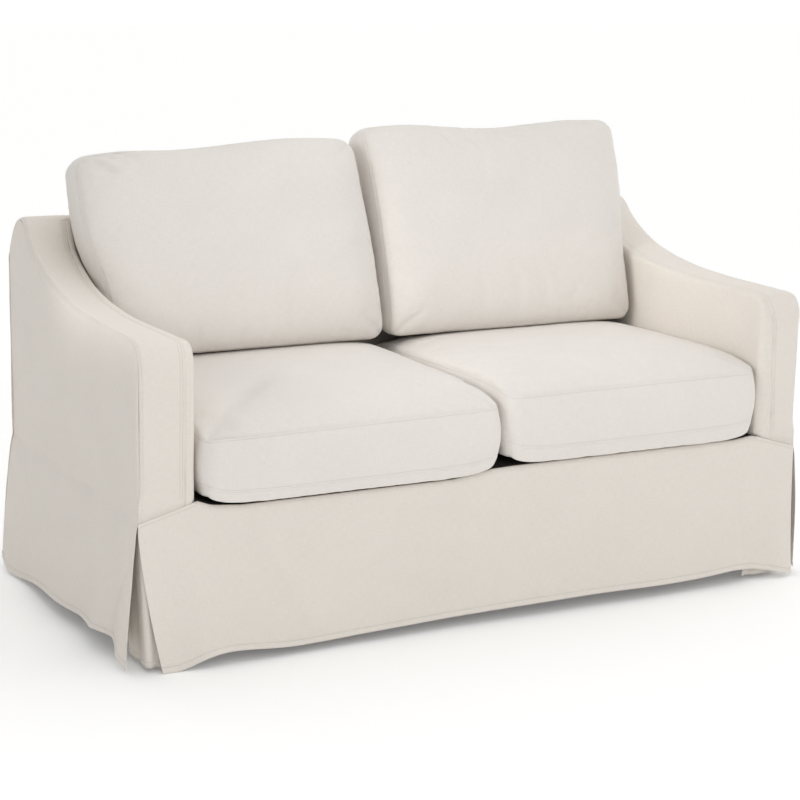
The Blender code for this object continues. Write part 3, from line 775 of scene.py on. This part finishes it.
# Each cushion is boxed: crown on top, a straight boxing round it, seams at both of its edges.
upright = math.radians(73)
straight = [(-1, 0), (1, 0)]
seatShape = {"turn": 0, "depth": 0.635, "under": 0.0030, "bulge": 0.010, "press": 0, "left": straight,
             "right": straight, "crest": straight, "fill": 0.8}
backShape = {"turn": upright, "boxing": 0.080, "crown": 0.044, "arch": 0.004, "fall": 0, "tilt": 0,
             "rise": 0, "press": 0.030, "lowSeam": -1, "fill": 0.6}
cushions = {
    "seat_left": {
        **seatShape, "place": (-0.3098, -0.0725, 0.3783), "width": 0.640, "boxing": 0.1341, "crown": 0.042,
        "corner": 0.026, "arch": 0.014, "fall": 0, "tilt": 0.008, "rise": 0.022, "lowSeam": -0.67,
        "creases": [
            (-0.31, -0.34, -0.08, -0.06, 0.028, -0.0060), (-0.27, -0.30, -0.03, -0.12, 0.030, 0.0035),
            (0.30, -0.27, 0.18, -0.14, 0.012, 0.0018), (0.28, -0.22, 0.16, -0.10, 0.010, -0.0016),
            (0.22, -0.30, 0.12, -0.20, 0.011, 0.0015), (-0.10, -0.31, -0.06, -0.22, 0.013, 0.0012),
            (0.06, -0.12, 0.22, 0.04, 0.030, 0.0022)]},
    "seat_right": {
        **seatShape, "place": (0.3380, -0.0725, 0.3928), "width": 0.615, "boxing": 0.138, "crown": 0.028,
        "corner": 0.028, "arch": 0.020, "fall": 0.008, "tilt": 0.004, "rise": 0.020, "lowSeam": -0.59,
        "creases": [
            (-0.28, -0.24, -0.10, -0.16, 0.016, 0.0020), (-0.26, -0.17, -0.12, -0.10, 0.014, -0.0018),
            (-0.20, -0.30, -0.06, -0.25, 0.012, 0.0014), (0.24, -0.28, 0.14, -0.16, 0.014, 0.0018),
            (0.02, -0.10, 0.20, 0.02, 0.032, 0.0022), (-0.06, 0.02, 0.10, 0.10, 0.026, -0.0018)]},
    "back_left": {
        **backShape, "place": (-0.3230, 0.2007, 0.7026), "width": 0.630, "depth": 0.4414,
        "under": 0.0344, "bulge": 0.008, "corner": 0.030,
        "left": [(-1, 0.012), (-0.3, 0.008), (0.15, -0.018), (1, -0.026)],
        "right": [(-1, 0.002), (-0.3, 0), (1, -0.020)],
        "crest": [(-1, -0.022), (-0.7, -0.012), (-0.3, -0.012), (0.6, 0.006), (1, 0.002)],
        "creases": [
            (-0.31, 0.190, -0.275, 0.165, 0.0050, -0.0040), (-0.30, 0.205, -0.265, 0.195, 0.0050, -0.0036),
            (-0.305, 0.15, -0.25, 0.13, 0.009, 0.0022), (-0.29, 0.18, -0.245, 0.155, 0.0060, 0.0030),
            (-0.26, 0.21, -0.22, 0.195, 0.0055, -0.0034), (-0.25, 0.20, -0.19, 0.165, 0.012, -0.0018),
            (-0.17, -0.21, -0.16, -0.17, 0.006, 0.0028), (-0.13, -0.21, -0.125, -0.18, 0.0055, -0.0030),
            (-0.09, -0.21, -0.08, -0.17, 0.006, 0.0026), (-0.03, -0.215, -0.02, -0.185, 0.006, -0.0024),
            (0.03, -0.215, 0.04, -0.18, 0.009, 0.0020), (0.18, 0.20, 0.23, 0.14, 0.010, 0.0016),
            (-0.28, -0.05, -0.18, -0.15, 0.026, 0.0030), (0.10, 0.00, 0.26, -0.12, 0.040, 0.0020)]},
    "back_right": {
        **backShape, "place": (0.3315, 0.2049, 0.7164), "width": 0.634, "depth": 0.4669,
        "under": 0.0346, "bulge": 0.0065, "corner": 0.026,
        "left": [(-1, 0), (0, 0.002), (1, -0.012)],
        "right": [(-1, -0.004), (-0.35, -0.002), (-0.1, 0.001), (0.1, 0.007), (1, 0.008)],
        "crest": [(-1, -0.002), (-0.7, 0.003), (0, -0.009), (0.7, 0.005), (1, 0.003)],
        "creases": [
            (-0.16, 0.22, -0.13, 0.195, 0.0042, -0.0026), (-0.14, 0.20, -0.08, 0.165, 0.0048, -0.0026),
            (-0.10, 0.22, -0.06, 0.180, 0.0042, -0.0030), (-0.085, 0.22, -0.04, 0.175, 0.0050, 0.0020),
            (-0.06, 0.22, -0.03, 0.195, 0.0040, -0.0024), (-0.02, 0.22, 0.02, 0.185, 0.0046, -0.0028),
            (0.01, 0.22, 0.05, 0.180, 0.0055, 0.0020), (0.05, 0.22, 0.08, 0.185, 0.0045, -0.0026),
            (0.10, 0.22, 0.13, 0.185, 0.0045, -0.0020), (0.14, 0.22, 0.17, 0.18, 0.007, 0.0016),
            (-0.31, 0.19, -0.25, 0.16, 0.008, 0.0022), (-0.30, 0.165, -0.24, 0.155, 0.006, -0.0022),
            (-0.28, -0.18, -0.20, -0.10, 0.024, 0.0024), (0.10, 0.02, 0.26, 0.12, 0.040, 0.0018)]},
}
filled = {"crownPower": 5, "fullCrownPower": 8, "underPower": 20, "crownRound": 0.55, "step": 0.0052,
          "seamDip": 0.0010, "seamReach": 0.0026,
          "pucker": 0.0013, "puckerReach": 0.012, "stitchLine": 0.0054, "stitchDip": 0.0006,
          "stitchWide": 0.0014, "seamStops": 600, "seamLength": 2.4, "slackHeight": 0.0014}
filling = {"mesh": 0.011, "frames": 20, "pressure": 4, "slack": -0.045, "rounds": 40, "keep": 0.30,
           "boxingKeep": 0.12, "most": 0.0022, "mass": 0.3, "stretch": 14, "shear": 5, "bending": 0.25}


def dome(a, b, power):
    return ((1 - abs(a) ** power) * (1 - abs(b) ** power)) ** filled["crownRound"]


def cushionPoint(spec, a, b, c):
    reach = max(abs(a), abs(b))
    half = np.array([spec["width"], spec["depth"]]) / 2
    edge = np.array([a, b]) / max(reach, 1e-6) * half
    core = np.clip(edge, spec["corner"] - half, half - spec["corner"])
    roundOff = (edge - core) / max(np.linalg.norm(edge - core), 1e-6)
    edge = core + roundOff * (spec["corner"] + spec["bulge"] * (1 - c * c))
    x, y = edge * reach
    x += mix(curveTable(spec["left"], b), curveTable(spec["right"], b), (1 + a) / 2)
    y += spec["press"] * (1 - c) / 2 * ((1 - b) / 2) ** 4
    y += curveTable(spec["crest"], a) * ((1 + b) / 2) ** 2
    lift = spec["arch"] * (1 - b**4) - spec["fall"] * b + spec["tilt"] * a / 2
    z = c * spec["boxing"] / 2 + lift * (1 + c) / 2 + spec["rise"] * a**8 * (1 - c) / 2
    lying = spec["turn"] == 0
    if c == 1:
        z += spec["crown"] * dome(a, b, filled["crownPower" if lying else "fullCrownPower"])
    elif c == -1:
        z -= spec["under"] * dome(a, b, filled["underPower" if lying else "crownPower"])
    return Vector((x, y, z))


# Places round the cushion at one height of its side, for a seam
def seamLoop(spec, c):
    loop = []
    for k in range(filled["seamStops"]):
        angle = 2 * math.pi * k / filled["seamStops"]
        a, b = math.cos(angle), math.sin(angle)
        reach = max(abs(a), abs(b))
        loop.append(cushionPoint(spec, a / reach, b / reach, c))
    return loop


def easeBlock(bm):
    bmesh.ops.smooth_vert(bm, verts=bm.verts, factor=0.5, use_axis_x=True, use_axis_y=True, use_axis_z=True)


def nearestIn(spots):
    tree = kdtree.KDTree(len(spots))
    for k, spot in enumerate(spots):
        tree.insert(spot, k)
    tree.balance()
    return tree


# A closed block cut at the given places of each axis, each vertex set on the cushion
def cushionBlock(spec, cuts):
    bm = bmesh.new()
    bmesh.ops.create_cube(bm, size=2)
    for axis, places in enumerate(cuts):
        along = [edge for edge in bm.edges if abs((edge.verts[0].co - edge.verts[1].co)[axis]) > 1e-6]
        bmesh.ops.subdivide_edges(bm, edges=along, cuts=len(places) - 2, use_grid_fill=True)
    source = []
    for vert in bm.verts:
        spot = [places[round((at + 1) / 2 * (len(places) - 1))] for at, places in zip(vert.co, cuts)]
        source.append(spot)
        vert.co = cushionPoint(spec, *spot)
    return bm, source


# The values with everything finer than a hand's breadth averaged away along the mesh
def softened(values, edges, rounds):
    count = np.zeros(len(values))
    np.add.at(count, edges.ravel(), 1)
    for _ in range(rounds):
        total = np.zeros_like(values)
        np.add.at(total, edges[:, 0], values[edges[:, 1]])
        np.add.at(total, edges[:, 1], values[edges[:, 0]])
        values = 0.4 * values + 0.6 * total / count[:, None]
    return values


# Fills the cushion's cloth under pressure and returns its rest places and their wrinkles
def fillCushion(name, spec):
    sizes = (spec["width"], spec["depth"], spec["boxing"])
    steps = [max(4, round(size / filling["mesh"])) for size in sizes]
    bm, source = cushionBlock(spec, [np.linspace(-1, 1, count + 1).tolist() for count in steps])
    easeBlock(bm)
    rest = np.array([vert.co for vert in bm.verts])
    shell = addPiece(name + "_filling", bm, cushionCloth)
    seams = shell.vertex_groups.new(name="seams")
    row = 2 / steps[2]
    heights = [1, spec["lowSeam"]]
    held = [k for k, (a, b, c) in enumerate(source)
            if max(abs(a), abs(b)) > 0.9999 and min(abs(c - height) for height in heights) <= row / 2]
    seams.add(held, 1, "REPLACE")
    fill = shell.modifiers.new("filling", "CLOTH")
    fill.settings.quality = 5
    fill.settings.mass = filling["mass"]
    fill.settings.tension_stiffness = filling["stretch"]
    fill.settings.compression_stiffness = filling["stretch"]
    fill.settings.shear_stiffness = filling["shear"]
    fill.settings.bending_stiffness = filling["bending"]
    fill.settings.use_pressure = True
    fill.settings.uniform_pressure_force = filling["pressure"]
    fill.settings.shrink_min = filling["slack"]
    fill.settings.shrink_max = filling["slack"]
    fill.settings.vertex_group_mass = "seams"
    fill.settings.effector_weights.gravity = 0
    fill.point_cache.frame_start = 1
    fill.point_cache.frame_end = filling["frames"]
    for frame in range(1, filling["frames"] + 1):
        bpy.context.scene.frame_set(frame)
    blown = shell.evaluated_get(bpy.context.evaluated_depsgraph_get()).data
    places = np.empty(len(rest) * 3)
    blown.vertices.foreach_get("co", places)
    edges = np.empty(len(shell.data.edges) * 2, int)
    shell.data.edges.foreach_get("vertices", edges)
    moved = places.reshape(-1, 3) - rest
    print(name, "filled: the cloth moved up to", round(float(np.abs(moved).max()), 4))
    wrinkles = moved - softened(moved, edges.reshape(-1, 2), filling["rounds"])
    lengths = np.linalg.norm(wrinkles, axis=1)
    print("  wrinkles up to", round(float(lengths.max()), 4), "mean", round(float(lengths.mean()), 5))
    bpy.data.objects.remove(shell)
    bpy.context.scene.frame_set(1)
    return rest, wrinkles


# How far the cloth may stand out from the cushion's own form: little where it touches another
def roomAt(spec, b, c):
    if c == 1:
        if spec["turn"] == 0:
            return 0.006 * min(1, max(0.05, (0.42 - b) / 0.15))
        return 0.006 * min(1, max(0.1, (b + 0.97) / 0.1))
    if spec["turn"] == 0:
        return 0.004 if b == -1 else 0.0004
    return 0.003 if b == 1 else 0.0002


def buildCushion(name, spec, seed):
    halves = [spec[size] / 2 for size in ("width", "depth", "boxing")]
    seams = [[-1, 1], [-1, 1], [spec["lowSeam"], 1]]
    cuts = [[place / half for place in seamRows([seam * half for seam in rows], -half, half, filled["step"])]
            for half, rows in zip(halves, seams)]
    bm, source = cushionBlock(spec, cuts)
    layer = bm.loops.layers.uv.new("weave")
    bm.normal_update()
    for face in bm.faces:
        face.smooth = True
        side = max(range(3), key=lambda k: abs(face.normal[k]))
        first, second = [(1, 2), (0, 2), (0, 1)][side]
        for loop in face.loops:
            loop[layer].uv = (loop.vert.co[first], loop.vert.co[second])
    for _ in range(2):
        easeBlock(bm)
    bm.normal_update()
    loops = [seamLoop(spec, c) for c in (1, spec["lowSeam"])]
    trees = [nearestIn(loop) for loop in loops]
    slack = None
    rest, wrinkles = fillCushion(name, spec)
    slack = nearestIn(rest)
    places = []
    for vert, (a, b, c) in zip(bm.verts, source):
        move = Vector()
        if slack:
            near = slack.find_n(vert.co, 4)
            weights = [1 / (away + 0.001) ** 2 for spot, k, away in near]
            for (spot, k, away), weight in zip(near, weights):
                move += Vector(wrinkles[k]) * (weight / sum(weights))
            move *= (filling["keep"] if c == 1 else filling["boxingKeep"])
            move /= max(1, move.length / filling["most"])
        shift = 0
        for k, tree in enumerate(trees):
            spot, at, away = tree.find(vert.co)
            if away < 0.10:
                run = at / filled["seamStops"] * filled["seamLength"]
                shift -= filled["seamDip"] * math.exp(-((away / filled["seamReach"]) ** 2))
                beside = (away - filled["stitchLine"]) / filled["stitchWide"]
                shift -= filled["stitchDip"] * math.exp(-(beside ** 2))
                pull = ripple(run, seed + 20 * k, 0.012) + 0.6 * ripple(run, seed + 5 + 20 * k, 0.045)
                fade = math.exp(-away / filled["puckerReach"])
                shift += filled["pucker"] * pull * fade * min(1, away / 0.004)
        lie = unevenLie(vert.co.x + seed, vert.co.y, seed, 0.17, filled["slackHeight"])
        shift += lie * (1 if abs(c) == 1 else 0.4)
        if c == 1:
            shift += creaseHeight(spec["creases"], vert.co.x, vert.co.y)
        move += vert.normal * shift
        over = move.dot(vert.normal) - roomAt(spec, b, c)
        if over > 0:
            move -= vert.normal * over
        places.append(vert.co + move)
    for vert, spot in zip(bm.verts, places):
        vert.co = spot
    turn = Matrix.Translation(spec["place"]) @ Matrix.Rotation(spec["turn"], 4, "X")
    bm.transform(turn)
    bm.normal_update()
    skin = BVHTree.FromBMesh(bm)

    def onSkin(loop, beside):
        line = []
        for spot in loop + loop[:1]:
            near, normal, face, away = skin.find_nearest(turn @ (spot + Vector((0, 0, beside))))
            line.append((np.array(near), np.array(normal)))
        return line

    # The stitches run on the boxing, beside each seam.
    lines = [onSkin(loop, aim * filled["stitchLine"]) for loop, aim in zip(loops, (-1, 1))]
    piece = addPiece(name + "_cushion", bm, cushionCloth)
    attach(piece, root)
    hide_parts(name)
    sew(name + "_stitches", lines)
    sew(name + "_edges", [onSkin(loop, 0) for loop in loops], cord, cushionCloth)
    print(name, "cushion made")


for seed, (name, spec) in enumerate(cushions.items()):
    buildCushion(name, spec, seed + 1)


# "world" is the light from all round, and the next three dim it from one way each.
studio = {
    "floorZ": -0.001, "floorColour": (0.97, 0.97, 0.965), "glow": 0.12,
    "world": 1.15, "left": 0.37, "front": 0.56, "above": 0.94,
    "key": {"spot": (-0.9, -4.2, 2.6), "aim": (0, 0, 0.45), "size": (2.2, 1.6), "power": 24, "spread": 180},
    "side": {"spot": (-1.0, -0.35, 1.1), "aim": (0.66, -0.03, 0.54), "size": (0.7, 0.7), "power": 0.75,
             "spread": 36},
}


def buildFloor():
    bm = bmesh.new()
    bmesh.ops.create_grid(bm, x_segments=1, y_segments=1, size=30)
    bmesh.ops.translate(bm, verts=bm.verts, vec=(0, 0, studio["floorZ"]))
    material = bpy.data.materials.new("pale_floor")
    material.use_nodes = True
    shader = material.node_tree.nodes["Principled BSDF"]
    shader.inputs["Base Color"].default_value = (*studio["floorColour"], 1)
    shader.inputs["Roughness"].default_value = 0.9
    shader.inputs["Emission Color"].default_value = (1, 1, 1, 1)
    shader.inputs["Emission Strength"].default_value = studio["glow"]
    addPiece("studio_floor", bm, material)


def softBox(name):
    look = studio[name]
    light = bpy.data.lights.new(name, "AREA")
    light.shape = "RECTANGLE"
    light.size, light.size_y = look["size"]
    light.energy = look["power"]
    light.spread = math.radians(look["spread"])
    lamp = bpy.data.objects.new(name, light)
    bpy.context.scene.collection.objects.link(lamp)
    lamp.location = look["spot"]
    lamp.rotation_euler = (Vector(look["aim"]) - Vector(look["spot"])).to_track_quat("-Z", "Y").to_euler()


def buildCamera():
    look = {"spot": (-1.9944, -3.7172, 1.3335), "azimuth": -28.06, "elevation": 12.701, "roll": 1.165,
            "lens": 1989.46 / 800 * 36}
    around, above, roll = (math.radians(look[key]) for key in ("azimuth", "elevation", "roll"))
    back = Vector((math.sin(around) * math.cos(above), -math.cos(around) * math.cos(above), math.sin(above)))
    right = (-back).cross(Vector((0, 0, 1))).normalized()
    up = right.cross(-back)
    turned = (right * math.cos(roll) + up * math.sin(roll), up * math.cos(roll) - right * math.sin(roll), back)
    camera = bpy.data.objects.new("camera", bpy.data.cameras.new("camera"))
    camera.data.sensor_width = 36
    camera.data.lens = look["lens"]
    camera.matrix_world = Matrix.Translation(look["spot"]) @ Matrix(turned).transposed().to_4x4()
    bpy.context.scene.collection.objects.link(camera)
    bpy.context.scene.camera = camera


buildFloor()
softBox("key")
softBox("side")
buildCamera()


# White light from all round, dimmer from the left, from the front and from above
def buildWorld():
    world = bpy.data.worlds.new("studio")
    world.use_nodes = True
    nodes, links = world.node_tree.nodes, world.node_tree.links
    place = nodes.new("ShaderNodeTexCoord")
    parts = nodes.new("ShaderNodeSeparateXYZ")
    links.new(place.outputs["Generated"], parts.inputs["Vector"])
    level = None
    dims = (("X", -1, -0.1, studio["left"], studio["world"]), ("Y", -1, -0.1, studio["front"], 1),
            ("Z", 0.35, 1, 1, studio["above"]))
    for axis, start, end, low, high in dims:
        dim = nodes.new("ShaderNodeMapRange")
        for name, value in (("From Min", start), ("From Max", end), ("To Min", low), ("To Max", high)):
            dim.inputs[name].default_value = value
        links.new(parts.outputs[axis], dim.inputs["Value"])
        if level:
            both = nodes.new("ShaderNodeMath")
            both.operation = "MULTIPLY"
            links.new(level, both.inputs[0])
            links.new(dim.outputs["Result"], both.inputs[1])
        level = both.outputs[0] if level else dim.outputs["Result"]
    links.new(level, nodes["Background"].inputs["Strength"])
    nodes["Background"].inputs["Color"].default_value = (1, 1, 1, 1)
    bpy.context.scene.world = world


buildWorld()
bpy.context.scene.view_settings.view_transform = "Standard"
print("studio made")
